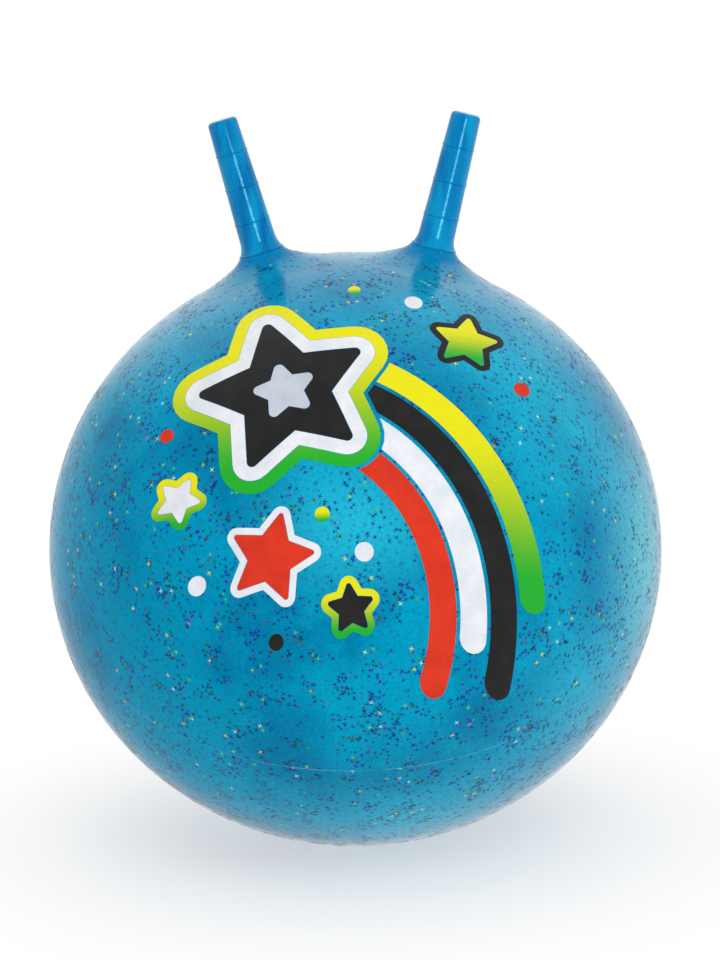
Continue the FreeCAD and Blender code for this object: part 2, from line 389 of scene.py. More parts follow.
# How strongly the vinyl mirrors: from its left to its right side, towards the crown, and as a
# share of that at a horn's foot. The plain level stays where a program drops the pattern.
gleam_sides = (-150 * MM, 150 * MM)
side_gleam = (0.045, 0.15)
gleam_heights = (380 * MM, 460 * MM)
crown_gleam = 0.7
foot_gleam = 0.15
plain_gleam = 0.1
skin_gloss = (60.0, 3.0, 0.12, 0.2)
skin_grain = (90.0, 2.0, 0.12 * MM, 0.25)
print("soft patches", len(patches))


# %% The skin's finish
def patch(tree, coords, middle, reach, strength):
    """How strongly a soft patch of painted light and shade shows about a point."""
    middle = tuple(value * MM for value in middle)
    reach = tuple(value * MM for value in reach)
    offset = vector_maths(tree, "SUBTRACT", coords, middle)
    offset = vector_maths(tree, "DIVIDE", offset, reach)
    return spread(tree, vector_maths(tree, "LENGTH", offset), 1.0, 0.0, 0.0, strength)


def skin_finish():
    """Glossy, clear blue vinyl with soft patches of painted light and shade and faint stars in its
    depth.
    """
    material, tree, coords = new_finish("blue_glitter_vinyl", Specular_Tint=vinyl_tint,
                                        Specular_IOR_Level=plain_gleam)
    across, height = [add(tree, "SeparateXYZ", {0: coords}, axis) for axis in "XZ"]
    right = vector_maths(tree, "ABSOLUTE", coords)
    foot = vector_maths(tree, "DISTANCE", right, horn_foot)
    thick = spread(tree, foot, *thick_reach, 1.0, 0.0)
    gleam = spread(tree, across, *gleam_sides, *side_gleam)
    gleam = spread(tree, height, *gleam_heights, gleam, crown_gleam)
    gleam = maths(tree, "MULTIPLY", gleam, spread(tree, thick, 0.0, 1.0, 1.0, foot_gleam))
    tree.links.new(gleam, tree.nodes["Principled BSDF"].inputs["Specular IOR Level"])
    colour = deep_blue
    for hue, scale, detail, roughness, levels, strength in clouds:
        cloud = cloudy(tree, coords, scale, detail, levels, (0.0, strength), roughness)
        colour = blend(tree, cloud, colour, hue)
    # Soft patches of painted light and painted shade over the vinyl's colour.
    for hue, *place in patches:
        colour = blend(tree, patch(tree, coords, *place), colour, hue)
    colour = blend(tree, thick, colour, foot_blue)
    for spacing, reach, strength in star_layers:
        star, tint = deep_stars(tree, coords, spacing * MM, reach * MM)
        dark = blend(tree, star_blue_share, tint, star_blue)
        colour = blend(tree, maths(tree, "MULTIPLY", star, strength), colour, dark)
    mottle = cloudy(tree, coords, 420.0, 3.0, values=(0.9, 1.08), roughness=0.6)
    colour = dimmed(tree, colour, mottle)
    return complete(material, coords, colour, skin_gloss, skin_grain)


skin_vinyl = skin_finish()

# %% [markdown]
# ## The horns' places
# The horns stand square on the crown, so both axes run through the centre of the crown's
# sphere. Each horn could be modelled where it stands, but a lean is awkward to draw. It is
# turned about Z instead: one matrix takes it to the right, and a mirror takes it to the left.
# Heights along a horn are measured from the crown's centre.

# %% Sizes of the horns
horn_spacing = 132 * MM
horn_length = 122.6 * MM
tip_radius = 12 * MM
root_radius = 15.2 * MM
horn_wall = 2.4 * MM
tip_rounding = 3.5 * MM
flare_rise = 11 * MM
flare_slope = math.radians(26)
upper_flare = 21 * MM
lower_flare = 130 * MM
weld_rise = 12.6 * MM

weld_height = crown_radius + weld_rise
horn_tip = crown_radius + horn_length
taper = (root_radius - tip_radius) / horn_length
lean = math.asin(horn_spacing / 2 / crown_radius)
right_horn = Matrix.Translation(crown_centre) @ Matrix.Rotation(lean, 4, "Y")
horn_axis = right_horn.to_3x3() @ Vector((0, 0, 1))
to_left = Matrix.Scale(-1, 4, (1, 0, 0))


def horn_radius(height):
    """A horn's outer radius at a height."""
    return tip_radius + taper * (horn_tip - height)


print("lean in degrees", round(math.degrees(lean), 2))

# %% [markdown]
# ## The flare under a horn
# The skin is drawn up to the horn in a flare: a small arc leaves the horn's wall, and a large
# one meets the ball. A curve drawn by eye would leave a dent where it meets the ball, so the
# arcs are worked out to touch. Both touch the same sloping line, and their centres follow
# from lines and circles that are moved aside by the arcs' radii.

# %% Work out the flare's two arcs
wall_angle = math.atan(taper)
foot = Vector((horn_radius(crown_radius + flare_rise), crown_radius + flare_rise))
foot_out = Vector((math.sin(flare_slope), math.cos(flare_slope)))
foot_along = Vector((math.cos(flare_slope), -math.sin(flare_slope)))

# The upper arc's centre keeps its radius from the wall's line and from the foot's line.
corner = upper_flare / math.cos(wall_angle + flare_slope)
upper_centre = foot + Vector((
    corner * (math.cos(flare_slope) - math.sin(wall_angle)),
    corner * (math.cos(wall_angle) - math.sin(flare_slope)),
))

# The lower arc's centre keeps its radius from the foot's line and from the crown's sphere.
clear = foot.dot(foot_out) + lower_flare
along = -math.sqrt((crown_radius + lower_flare) ** 2 - clear ** 2)
lower_centre = foot_out * clear + foot_along * along

wall_turn = 180 + math.degrees(wall_angle)
foot_turn = 270 - math.degrees(flare_slope)
crown_turn = math.degrees(math.atan2(lower_centre.y, lower_centre.x))
weld_turn = 180 - math.degrees(math.asin((weld_height - upper_centre.y) / upper_flare))
weld_radius = upper_centre.x + upper_flare * math.cos(math.radians(weld_turn))
flare_reach = crown_radius * math.cos(math.radians(crown_turn))
print("weld radius in mm", round(weld_radius / MM, 2), "flare's reach",
      round(flare_reach / MM, 2))

# %% [markdown]
# ## The skin as one mesh
# A UV sphere would have its poles in the wrong place. Here the outline of flare and crown is
# turned round the right horn's axis, so its rings lie close together in the tight flare and
# wider apart on the ball. The left half is cut away at the middle plane, and past the flare
# each point is laid on the oval. A ball flattens a little where it rests, so a cut along the
# floor gives that patch its edge, and the points below it are lifted to the floor. A mirror
# image of the right half then takes the left one's place.

# %% Turn, lay, cut and mirror the skin
skin_steps = 240
upper_steps = 8
lower_steps = 10
crown_steps = 96
far_turn = -76.5
cut_gap = 0.01 * MM


def from_horn(point):
    """How far a point lies from the right horn's axis."""
    return (point - crown_centre).cross(horn_axis).length


def everything(bm):
    """All vertices, edges and faces of a bmesh."""
    return bm.verts[:] + bm.edges[:] + bm.faces[:]


def cut(bm, normal, point=(0, 0, 0), gap=cut_gap, **settings):
    """Cut a bmesh by a plane."""
    bmesh.ops.bisect_plane(bm, geom=everything(bm), dist=gap, plane_co=point,
                           plane_no=normal, **settings)


outline = arc(upper_centre, upper_flare, weld_turn, foot_turn, upper_steps)
outline += arc(lower_centre, lower_flare, foot_turn, 180 + crown_turn, lower_steps)
outline += arc((0, 0), crown_radius, crown_turn, far_turn, crown_steps)[1:]
skin_form = spun(outline, skin_steps, right_horn)
cut(skin_form, (1, 0, 0), clear_inner=True)
for vert in skin_form.verts:
    if from_horn(vert.co) > flare_reach or vert.co.z < ball_centre.z:
        vert.co = on_skin(vert.co)
cut(skin_form, (0, 0, 1))
for vert in skin_form.verts:
    vert.co.z = max(vert.co.z, 0)
bmesh.ops.mirror(skin_form, geom=everything(skin_form), axis="X", merge_dist=cut_gap)
outwards(skin_form)
print("skin faces", len(skin_form.faces), "open edges", open_edges(skin_form))
skin_tree = BVHTree.FromBMesh(skin_form)

# %% [markdown]
# ## Wall and valve hole
# The skin is 1.1 mm thick, so a Solidify modifier gives it an inner face, and a Boolean
# modifier drills the valve's hole through the back. Modifiers could stay live, but both are
# applied at once, because the shading depends on sharp edges that are found on the final
# mesh. The drill is only a tool and goes away again.

# %% Wall and hole
seat_radius = 11 * MM
seat_depth = 15 * MM
weld_gap = 0.05 * MM
drill_steps = 72
hole_sharp = 40
valve_middle = ball_centre + Vector((0, half_width, 0))
valve_frame = Matrix.Translation(valve_middle) @ Matrix.Rotation(-math.pi / 2, 4, "X")


def subtract(piece, tool_name, tool_form):
    """Cut a tool out of a piece for good, and give the piece's new mesh."""
    tool = put_in_scene(tool_name, mesh_from(tool_name, tool_form))
    cutter = piece.modifiers.new("cut", "BOOLEAN")
    cutter.operation = "DIFFERENCE"
    cutter.solver = "EXACT"
    cutter.object = tool
    view = bpy.context.evaluated_depsgraph_get()
    mesh = bpy.data.meshes.new_from_object(piece.evaluated_get(view))
    piece.modifiers.clear()
    piece.data = mesh
    bpy.data.objects.remove(tool)
    return mesh


skin = keep_piece("skin", skin_form, skin_vinyl, "ball", "skin_vinyl", "ball_skin")
wall = skin.modifiers.new("wall", "SOLIDIFY")
wall.thickness = skin_wall
wall.offset = -1
wall.use_even_offset = True
drill = bmesh.new()
bmesh.ops.create_cone(drill, cap_ends=True, segments=drill_steps,
                      radius1=seat_radius + weld_gap, radius2=seat_radius + weld_gap,
                      depth=seat_depth * 2, matrix=valve_frame)
skin_mesh = subtract(skin, "drill", drill)
shade(skin_mesh, hole_sharp)
print("skin faces with the wall", len(skin_mesh.polygons))

# %% [markdown]
# ## The horns' vinyl
# The horns are the same vinyl without glitter, thicker and a deeper blue. The colour runs in
# soft streaks along the horn: partly the vinyl's own uneven tone, partly painted light and
# shade, lighter and darker streaks laid at random. A Wave texture would be too even, so noise
# is squeezed by a Mapping node until its patches are long and narrow. Where a ring makes the
# vinyl thicker, it looks darker: the height along the horn is a dot product with its axis, and
# the sign is taken off x first, so that one material serves both horns.

# %% The horns' finish
horn_shade = srgb(0, 74, 132)
horn_shaded_blue = srgb(0, 112, 178)
horn_blue = srgb(2, 142, 200)
horn_lit_blue = srgb(10, 160, 210)
horn_tint = (0.18, 0.72, 1.0, 1)
streak_squeeze = (1.0, 1.0, 0.12)
top_ring_drop = 27.3 * MM
ring_spacing = 28.35 * MM
ring_proud = 0.6 * MM
ring_half = 0.65 * MM
flash_proud = 0.7 * MM
flash_half = 0.8 * MM
ring_heights = [horn_tip - top_ring_drop - index * ring_spacing for index in (2, 1, 0)]
# The heights of the dark lines along a horn, and how strongly they show.
dark_lines = [(weld_height + flash_half, 0.36)] + [(ring, 0.1) for ring in ring_heights]
line_edge = (1.2 * flash_half, 0.4 * flash_half)
horn_gloss = (140.0, 3.0, 0.08, 0.16)
horn_grain = (70.0, 2.0, 0.05 * MM, 0.12)


def horn_finish():
    """Glossy deep blue vinyl with streaks of its own tone and of painted light and shade along the
    horn.
    """
    material, tree, coords = new_finish("blue_horn_vinyl", Specular_IOR_Level=0.25,
                                        Specular_Tint=horn_tint)
    drawn = add(tree, "Mapping", {"Vector": coords, "Scale": streak_squeeze})
    # Streaks of painted light and shade, with the vinyl's own uneven tone, laid at random along
    # the horn.
    streak = speckle(tree, drawn, 110.0)
    colour = blend(tree, spread(tree, streak, 0.3, 0.6), horn_shaded_blue, horn_blue)
    colour = blend(tree, spread(tree, streak, 0.5, 0.72, 0.0, 0.7), colour, horn_lit_blue)
    right = vector_maths(tree, "ABSOLUTE", coords)
    offset = vector_maths(tree, "SUBTRACT", right, crown_centre)
    height = vector_maths(tree, "DOT_PRODUCT", offset, horn_axis)
    for line, strength in dark_lines:
        away = maths(tree, "ABSOLUTE", maths(tree, "SUBTRACT", height, line))
        dark = spread(tree, away, *line_edge, 0.0, strength)
        colour = blend(tree, dark, colour, horn_shade)
    return complete(material, coords, colour, horn_gloss, horn_grain)


horn_vinyl = horn_finish()

# %% [markdown]
# ## The horns
# Each horn is a hollow cup, open where it meets the skin. Rings could be added to a cone one
# by one, but it is simpler to draw them into the outline. It runs up the outer wall with the
# thin grip rings, over the rounded tip, and down the inner wall again, so one spin makes the
# whole closed shape. A grip ring is a low bead that leaves a sharp line where it meets the
# wall.

# %% A horn's radius and rings
horn_steps = 96
bead_steps = 6
round_steps = 8
inner_round_steps = 4
foot_height = 22 * MM
# The inner wall follows the flare at these shares of the foot's height.
foot_levels = (0.7, 0.45, 0.2, 0.0)
# The wall's own points start this far above the weld, clear of the flash ring.
flash_clear = 2.5 * flash_half


def bead(height, half, proud, steps, radius_at):
    """The outline of a ring that stands proud of the wall, from its lower foot upwards."""
    points = []
    for index in range(steps + 1):
        turn = math.pi * index / steps
        level = height - math.cos(turn) * half
        points.append((radius_at(level) + proud * math.sin(turn), level))
    return points


def flare_radius(height):
    """The outer radius in the upper arc of the flare, and on the wall above it."""
    drop = upper_centre.y - height
    if drop > upper_flare * math.sin(math.radians(wall_turn - 180)):
        return upper_centre.x - math.sqrt(upper_flare ** 2 - drop ** 2)
    return horn_radius(height)


print("radius in mm where the flare ends", round(flare_radius(upper_centre.y) / MM, 2))

# %% Outlines of a horn
outer = [(weld_radius - horn_wall, weld_height), (weld_radius, weld_height)]
outer += bead(weld_height + flash_half, flash_half, flash_proud, round_steps, flare_radius)
for index in range(1, round_steps + 1):
    turn = weld_turn + (wall_turn - weld_turn) * index / round_steps
    height = upper_centre.y + upper_flare * math.sin(math.radians(turn))
    if height > weld_height + flash_clear:
        outer.append((flare_radius(height), height))
for height in ring_heights:
    outer += bead(height, ring_half, ring_proud, bead_steps, horn_radius)
tip_centre = (horn_radius(horn_tip) - tip_rounding, horn_tip - tip_rounding)
outer += arc(tip_centre, tip_rounding, 0, 90, round_steps)
outer.append((0, horn_tip))

inner = [(0, horn_tip - horn_wall)]
inner += arc(tip_centre, tip_rounding - horn_wall, 90, 0, inner_round_steps)
for height in (*reversed(ring_heights), weld_height + foot_height):
    inner.append((horn_radius(height) - horn_wall, height))
for share in foot_levels:
    height = weld_height + foot_height * share
    inner.append((flare_radius(height) - horn_wall, height))
print("points of a horn's outline", len(outer) + len(inner))

# %% Turn and mirror the horns
right_form = spun(outer + inner, horn_steps, right_horn)
outwards(right_form)
left_form = right_form.copy()
bmesh.ops.transform(left_form, matrix=to_left, verts=left_form.verts)
bmesh.ops.reverse_faces(left_form, faces=left_form.faces)
print("open edges", open_edges(right_form))
horns = [
    keep_piece("right_grip", right_form, horn_vinyl, "ball", "horn_vinyl", "right_horn"),
    keep_piece("left_grip", left_form, horn_vinyl, "ball", "horn_vinyl", "left_horn"),
]

# %% [markdown]
# ## The valve
# A bush of milky vinyl is welded into the skin at the back, and a white stopper sits in it a
# little below the face, with a dimple in its head. Cylinders and Booleans would give them
# hard edges that need a bevel each. Both are turned instead, with their roundings in the
# outline. The stopper is the one piece that moves: it is pulled straight out, so it rides on
# its own body.

# %% Sizes and finishes of the valve
head_radius = 8 * MM
head_wall = 2.4 * MM
head_below = 0.2 * MM
recess_gap = 0.6 * MM
stem_length = 16 * MM
stem_root = 4.7 * MM
stem_end = 4.1 * MM
dimple_radius = 3.2 * MM
dimple_depth = 0.8 * MM
edge_round = 0.5 * MM
running_gap = 0.05 * MM
flange_radius = 17 * MM
flange_wall = 1.5 * MM
valve_steps = 72

recess_floor = head_below + head_wall
stem_tip = recess_floor + stem_length
bore_end = stem_root - (stem_root - stem_end) * (seat_depth - recess_floor) / stem_length

# Milky blue vinyl, softer and duller than the skin, and hard white plastic with a fine grain.
bush_vinyl = two_tone(
    "valve_bush_vinyl", srgb(58, 158, 196), srgb(96, 184, 210), cloud=(180.0, 4.0),
    gloss=(400.0, 3.0, 0.28, 0.42), grain=(900.0, 3.0, 0.05 * MM, 0.4), Specular_IOR_Level=0.3)
stopper_plastic = two_tone(
    "white_stopper_plastic", srgb(222, 226, 228), srgb(238, 240, 240), cloud=(300.0, 3.0),
    gloss=(700.0, 3.0, 0.3, 0.45), grain=(1600.0, 2.0, 0.03 * MM, 0.5), Specular_IOR_Level=0.4)


# %% Turn the bush
def skin_dip(radius):
    """How far the skin has curved away from its outermost point at a radius."""
    return side_radius - math.sqrt(side_radius ** 2 - radius ** 2)


recess_radius = head_radius + recess_gap
recess_top = -skin_dip(head_radius) - edge_round
rim_round = edge_round / 2
rim_top = -skin_dip(seat_radius)
under_skin = skin_dip(flange_radius) + skin_wall
bush_outline = [(stem_root + running_gap, -recess_floor), (recess_radius, -recess_floor),
                (recess_radius, recess_top)]
bush_outline += arc((recess_radius + edge_round, recess_top), edge_round, 180, 90, 5)
bush_outline += arc((seat_radius - rim_round, rim_top - rim_round), rim_round, 90, 0, 3)
bush_outline += [
    (seat_radius, rim_top - skin_wall - weld_gap),
    (flange_radius, -under_skin - weld_gap),
    (flange_radius, -under_skin - flange_wall),
    (seat_radius, -under_skin - flange_wall),
    (seat_radius, -seat_depth),
    (bore_end + running_gap, -seat_depth),
    (stem_root + running_gap, -recess_floor),
]
bush_form = spun(bush_outline, valve_steps, valve_frame)
outwards(bush_form)
keep_piece("valve_bush", bush_form, bush_vinyl, "ball", "seat_vinyl", "valve_seat")

# %% Turn the stopper
head_top = -head_below
stopper_outline = [(0, head_top - dimple_depth)]
stopper_outline += arc((dimple_radius - dimple_depth, head_top), dimple_depth, -90, -15, 6)
stopper_outline += arc((head_radius - edge_round, head_top - edge_round), edge_round, 90, 0, 5)
stopper_outline += [
    (head_radius, -recess_floor),
    (stem_root, -recess_floor),
    (stem_end, -stem_tip + edge_round),
    (stem_end - edge_round, -stem_tip),
    (0, -stem_tip),
]
stopper_form = spun(stopper_outline, valve_steps, valve_frame)
outwards(stopper_form)
keep_piece("stopper_plug", stopper_form, stopper_plastic, "stopper", "plug_plastic",
           "valve_plug")

# %% [markdown]
# ## The print's layout
# The print is a shooting star with a banded tail, small stars and spots, in opaque inks. It
# could be painted in the skin's material, but printed ink has a crisp edge and a thickness
# of its own, so each shape is a real film.
# The print is laid out on a flat plane that faces forwards and a little up, with u across and
# v up from a point above the ball's centre. Each shape is drawn flat, gets a thickness of
# one, is cut into a fine grid so that it can bend, and is then pushed out along the plane's
# normal until it lies on the skin: the bottom of the film just in the skin, its top just
# above.

# %% The print's plane
print_tilt = math.radians(28)
print_right = Vector((1, 0, 0))
print_up = Vector((0, math.sin(print_tilt), math.cos(print_tilt)))
print_facing = Vector((0, -math.cos(print_tilt), math.sin(print_tilt)))
print_rise_share = 0.36
print_rise = print_rise_share * half_height
landing_rounds = 6


def on_print(u, v):
    """The point of the skin in front of a point of the print's plane."""
    base = ball_centre + print_right * u + print_up * (v + print_rise)
    reach = math.sqrt(half_width ** 2 - u ** 2 - (v + print_rise) ** 2)
    for _ in range(landing_rounds):
        point = base + print_facing * reach
        reach += (on_skin(point) - point).dot(print_facing)
    return base + print_facing * reach


print("the print's middle in mm", [round(side / MM) for side in on_print(0, 0)])

# %% Lay a film on the skin
ink_top = 0.10 * MM
ink_root = -0.05 * MM
grid_step = 5 * MM
grid_gap = 0.0001 * MM


def thicken(bm, depth):
    """Give a flat shape a thickness along Z, with its faces outwards."""
    raised = bmesh.ops.extrude_face_region(bm, geom=bm.faces[:])["geom"]
    raised = [item for item in raised if isinstance(item, bmesh.types.BMVert)]
    bmesh.ops.translate(bm, verts=raised, vec=(0, 0, depth))
    outwards(bm)


def span(bm, axis):
    """The least and the greatest place of a bmesh's points along an axis."""
    places = [vert.co[axis] for vert in bm.verts]
    return min(places), max(places)


def lay_film(bm):
    """Give a flat shape a thickness, cut it into a grid and lay it on the skin."""
    outwards(bm)
    for face in bm.faces:
        if face.normal.z > 0:
            face.normal_flip()
    thicken(bm, 1)
    for axis in (0, 1):
        low, high = span(bm, axis)
        normal = Vector((0, 0, 0))
        normal[axis] = 1
        for index in range(math.ceil(low / grid_step), math.ceil(high / grid_step)):
            cut(bm, normal, normal * index * grid_step, grid_gap)
    bmesh.ops.triangulate(bm, faces=bm.faces)
    shade_share = bm.verts.layers.float.new("shade")
    low, high = span(bm, 1)
    for vert in bm.verts:
        vert[shade_share] = (vert.co.y - low) / (high - low)
        level = ink_root + vert.co.z * (ink_top - ink_root)
        point = on_print(vert.co.x, vert.co.y)
        vert.co = point + skin_normal(point) * level


print("a film lies from", round(ink_root / MM, 2), "to", round(ink_top / MM, 2),
      "mm above the skin")

# %% [markdown]
# ## Stars, spots and bands
# A Bevel could round a star's points, but a border has to be equally wide everywhere. So each
# point starts as one vertex that is spun about the point's centre, at the distance that the
# star has grown. A border is the ring between a grown star and a smaller one: both are drawn
# as loops with the same number of points, and bridge_loops fills the space between them.
# A band of the tail is a short edge, spun round the tail's centre, with half a disc spun on
# its end.

# %% Draw a star
star_points = 5
notch_share = 0.5
point_steps = 8


def star_loop(bm, u, v, tip, turn, grow):
    """Draw a star's outline, grown by a border, as a loop of edges."""
    step = math.pi / star_points
    edge = Vector((notch_share * math.cos(step) - 1, notch_share * math.sin(step))).normalized()
    outward = Vector((edge.y, -edge.x))
    notch = notch_share * tip + grow / outward.dot(Vector((math.cos(step), math.sin(step))))
    ends = []
    for index in range(star_points):
        place = Matrix.Translation((u, v, 0)) @ Matrix.Rotation(
            math.radians(turn + 90) + math.tau * index / star_points, 4, "Z")
        start = bm.verts.new(place @ Vector((tip + outward.x * grow, -outward.y * grow, 0)))
        spin = bmesh.ops.spin(bm, geom=[start], cent=place @ Vector((tip, 0, 0)),
                              axis=(0, 0, 1), steps=point_steps,
                              angle=2 * math.atan2(outward.y, outward.x))
        between = bm.verts.new(place @ Vector((notch * math.cos(step), notch * math.sin(step), 0)))
        bm.edges.new((spin["geom_last"][0], between))
        ends += [start, between]
    for index in range(star_points):
        bm.edges.new((ends[2 * index + 1], ends[(2 * index + 2) % len(ends)]))


def star_film(u, v, tip, turn, grow, hole=None):
    """A star, or its border outside a smaller star of a tip and a growth."""
    bm = bmesh.new()
    star_loop(bm, u, v, tip, turn, grow)
    if hole is None:
        bmesh.ops.edgeloop_fill(bm, edges=bm.edges[:])
    else:
        star_loop(bm, u, v, hole[0], turn, hole[1])
        bmesh.ops.bridge_loops(bm, edges=bm.edges[:])
    return bm


print("corners of a star", star_points * (point_steps + 2))

# %% Draw a spot and a band
spot_steps = 40
band_steps = 48
band_end_steps = 16


def heading(degrees):
    """A direction in the flat print, by its angle."""
    return Vector((math.cos(math.radians(degrees)), math.sin(math.radians(degrees)), 0))


def spot_film(u, v, radius):
    """A round spot."""
    bm = bmesh.new()
    bmesh.ops.create_circle(bm, cap_ends=True, radius=radius, segments=spot_steps,
                            matrix=Matrix.Translation((u, v, 0)))
    return bm


def band_film(centre, near, far, first, last):
    """A curved band with a round end."""
    bm = bmesh.new()
    middle = (near + far) / 2
    points = [bm.verts.new(centre + heading(first) * radius) for radius in (near, middle, far)]
    edges = [bm.edges.new(points[:2]), bm.edges.new(points[1:])]
    bmesh.ops.spin(bm, geom=points + edges, cent=centre, axis=(0, 0, 1),
                   angle=math.radians(last - first), steps=band_steps)
    hub = bm.verts.new(centre + heading(last) * middle)
    rim = bm.verts.new(centre + heading(last) * far)
    spoke = bm.edges.new((hub, rim))
    bmesh.ops.spin(bm, geom=[hub, rim, spoke], cent=hub.co, axis=(0, 0, 1), angle=-math.pi,
                   steps=band_end_steps)
    bmesh.ops.remove_doubles(bm, verts=bm.verts, dist=cut_gap)
    return bm


print("steps round a spot", spot_steps, "along a band", band_steps)

# %% Sizes of the print
ink_seam = 0.3 * MM
star_place = (-50 * MM, -29 * MM)
star_tip = 62 * MM
star_turn = 12.0
heart_share = 0.32
heart_tip = star_tip * heart_share
core_grow = 4 * MM
white_border = 11 * MM
bright_border = 10 * MM
white_grow = core_grow + white_border
bright_grow = white_grow + bright_border
tail_centre = Vector((-74 * MM, -199 * MM, 0))
tail_inner = 128 * MM
band_width = 20 * MM
band_gap = 3 * MM
tail_start = 90.0
tail_bands = [("red", -20.0), ("white", -6.0), ("black", -14.0), ("bright", 4.0)]
tail_outer = tail_inner + len(tail_bands) * (band_width + band_gap) - band_gap
small_star = 30 * MM
small_border = 7 * MM
core_border = small_border / 4
spot_radius = 7 * MM

# Small stars and spots: place as shares of the tail's outer radius, size as a share of the
# small star's or the spot's, a turn in degrees, and the inks.
small_stars = [
    (-0.29, -0.73, 1.25, -16.0, "white", "red"),
    (0.41, 0.08, 1.0, -8.0, "black", "bright"),
    (-0.61, -0.49, 0.75, 40.0, "bright", "white"),
    (-0.02, -0.91, 0.75, 5.0, "bright", "black"),
]
spots = [
    (-0.65, -0.24, 0.8, "red"),
    (-0.55, -0.79, 1.0, "white"),
    (-0.11, -0.60, 0.8, "bright"),
    (0.03, -0.73, 1.0, "white"),
    (0.23, 0.25, 1.0, "white"),
    (0.60, -0.10, 0.9, "red"),
    (-0.28, -1.00, 0.8, "black"),
    (0.02, 0.31, 0.7, "bright"),
]
print("the tail's outer radius in mm", round(tail_outer / MM, 1))

# %% [markdown]
# ## Inks
# The bright ink runs from yellow at the top of a shape to green at its foot. Height in the
# room would give one run for the whole print, so each point of a film carries its share of
# its own shape's height, in an attribute named shade. The other inks have one colour, a
# little uneven as printed ink is, with a gloss that varies and a grain from the screen that
# it was printed through.

# %% Ink finishes
def ink_finish(name, low, high, roughness):
    """Opaque printed ink, between two near colours, or from one to another up the shape."""
    material, tree, coords = new_finish(name, Specular_IOR_Level=0.2)
    if name == "bright_ink":
        share = add(tree, "Attribute", output="Fac", attribute_name="shade")
        share = spread(tree, share, 0.1, 0.75)
    else:
        share = cloudy(tree, coords, 60.0, 3.0)
    mottle = cloudy(tree, coords, 380.0, 3.0, (0.3, 0.75), (1.0, 0.95))
    colour = dimmed(tree, blend(tree, share, low, high), mottle)
    return complete(material, coords, colour, (90.0, 3.0, roughness, roughness + 0.1),
                    (700.0, 2.0, 0.02 * MM, 0.4))


inks = {
    "bright": ink_finish("bright_ink", srgb(24, 178, 42), srgb(238, 232, 4), 0.22),
    "white": ink_finish("white_ink", srgb(226, 232, 240), srgb(242, 244, 249), 0.24),
    "black": ink_finish("black_ink", srgb(18, 19, 20), srgb(28, 29, 28), 0.2),
    "red": ink_finish("red_ink", srgb(214, 46, 18), srgb(230, 54, 24), 0.24),
    "grey": ink_finish("grey_ink", srgb(190, 200, 212), srgb(204, 212, 222), 0.24),
}

# %% [markdown]
# ## The printed picture
# The picture is printed ink by ink. Films could be stacked where one ink follows another, but
# faces that lie so close flicker in a render. Here no ink lies on another, and a thin seam is
# left where two meet.
# The tail starts behind the big star, so a grown star is punched out of each band. A Boolean
# modifier needs solids, so the band gets a thickness of one, and the punch starts one below it
# and ends one above it. The band's upper side is then taken off again, because every film gets
# its thickness when it is laid on the skin.

# %% Print the stars and spots
films = {ink: bmesh.new() for ink in inks}


def keep_film(ink, bm):
    """Lay a flat shape on the skin and add it to its ink's piece."""
    lay_film(bm)
    mesh = mesh_from("film", bm)
    films[ink].from_mesh(mesh)
    bpy.data.meshes.remove(mesh)


# The big star from its heart outwards: the ink, its tip and growth, and those of its hole.
layers = [
    ("grey", heart_tip, core_grow, None),
    ("black", star_tip, core_grow, (heart_tip, core_grow + ink_seam)),
    ("white", star_tip, white_grow, (star_tip, core_grow + ink_seam)),
    ("bright", star_tip, bright_grow, (star_tip, white_grow + ink_seam)),
]
for ink, tip, grow, hole in layers:
    keep_film(ink, star_film(*star_place, tip, star_turn, grow, hole))
for u, v, size, turn, border, core in small_stars:
    place = (u * tail_outer, v * tail_outer)
    tip = small_star * size - small_border
    keep_film(core, star_film(*place, tip, turn, core_border))
    keep_film(border, star_film(*place, tip, turn, small_border, (tip, core_border + ink_seam)))
for u, v, size, ink in spots:
    keep_film(ink, spot_film(u * tail_outer, v * tail_outer, spot_radius * size))
print("small stars", len(small_stars), "spots", len(spots))

# %% Print the tail
band_start = tail_inner
for ink, last in tail_bands:
    band = band_film(tail_centre, band_start, band_start + band_width, tail_start, last)
    thicken(band, 1)
    punch = star_film(*star_place, star_tip, star_turn, bright_grow + band_gap)
    bmesh.ops.translate(punch, verts=punch.verts, vec=(0, 0, -1))
    thicken(punch, 3)
    strip = put_in_scene("band", mesh_from("band", band))
    subtract(strip, "punch", punch)
    band = bmesh.new()
    band.from_mesh(strip.data)
    bpy.data.objects.remove(strip)
    above = [vert for vert in band.verts if vert.co.z > 0.5]
    bmesh.ops.delete(band, geom=above, context="VERTS")
    keep_film(ink, band)
    band_start += band_width + band_gap

ink_trees = [BVHTree.FromBMesh(bm) for bm in films.values()]
for ink, bm in films.items():
    print(ink, "open edges", open_edges(bm))
    keep_piece("print_in_" + ink, bm, inks[ink], "ball", "ink_" + ink, "print_" + ink)

# %% [markdown]
# ## Glitter
# The glitter is punched from holographic film: thousands of four-pointed stars, less than
# 5 mm across. Most look dark indigo, violet or green, and a few catch the light in yellow,
# orange, pink or silver; that glint is painted into those flakes' colours. A pattern in the
# material has no edges of its own and blurs when it is baked, so the flakes near the face are
# real.
# One flake is modelled once, from an eight-sided disc whose every other corner is drawn in.
# Copies of it are laid in the skin by a matrix each, gathered into one piece for each colour.
# A ray from the ball's centre finds the skin's face and slope.

# %% Punch one flake
flake_reach = 2.55 * MM
flake_waist_share = 0.22
flake_top = 0.02 * MM
flake_root = -0.06 * MM

